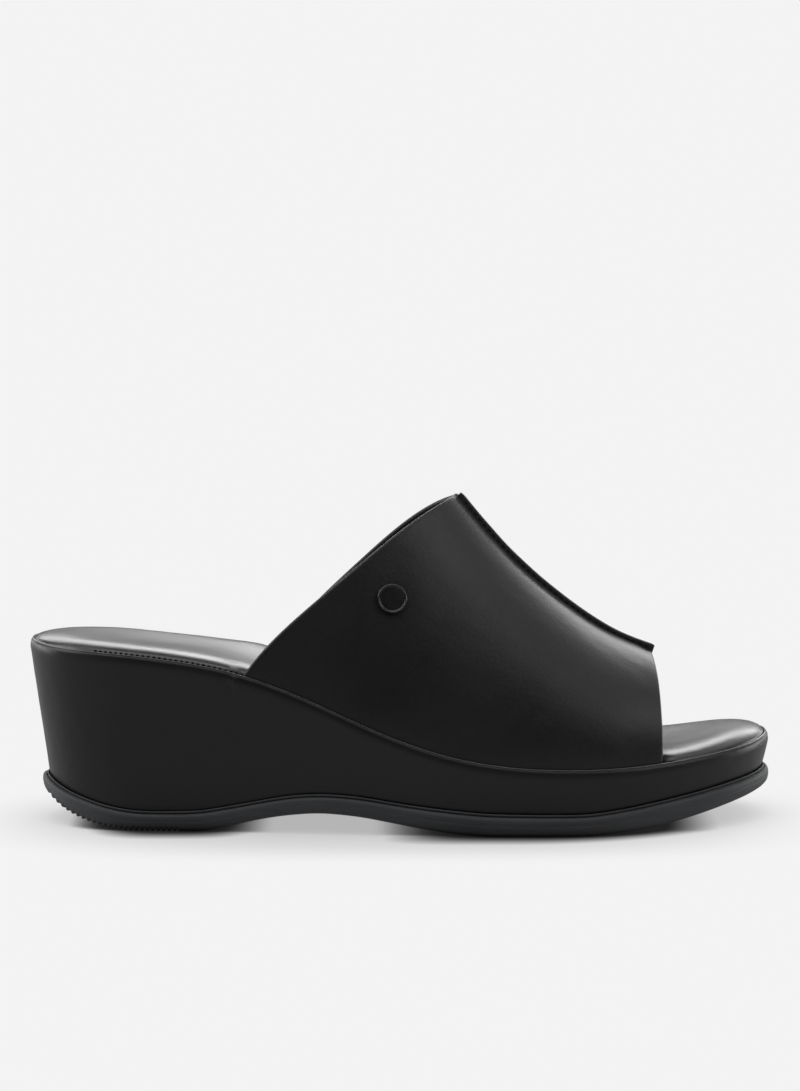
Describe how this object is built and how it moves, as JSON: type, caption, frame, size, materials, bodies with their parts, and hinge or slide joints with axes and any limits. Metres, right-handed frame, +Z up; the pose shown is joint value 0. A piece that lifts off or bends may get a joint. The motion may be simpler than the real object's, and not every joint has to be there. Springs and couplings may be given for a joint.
{
  "type": "wedge mule shoe",
  "caption": "Open-toe wedge mule, right shoe, with a raised centre seam on its leather upper, padded footbed, covered wedge and ribbed rubber outsole.",
  "frame": {"origin": "on the ground, at the middle of the shoe's length and width", "axes": "+X towards the toe, +Y towards the medial (inner) side, +Z up"},
  "size_m": [0.2465, 0.0919, 0.1086],
  "materials": {
    "rubber": "matte",
    "wedge_cover": "smooth, semi-matte",
    "footbed_leather": "smooth, semi-gloss",
    "upper_leather": "smooth, satin",
    "enamelled_metal": "black enamel, satin"
  },
  "bodies": {
    "root": {"outsole": "rubber", "wedge": "wedge_cover", "insole": "footbed_leather", "upper": "upper_leather", "rivet": "enamelled_metal"}
  },
  "joints": []
}
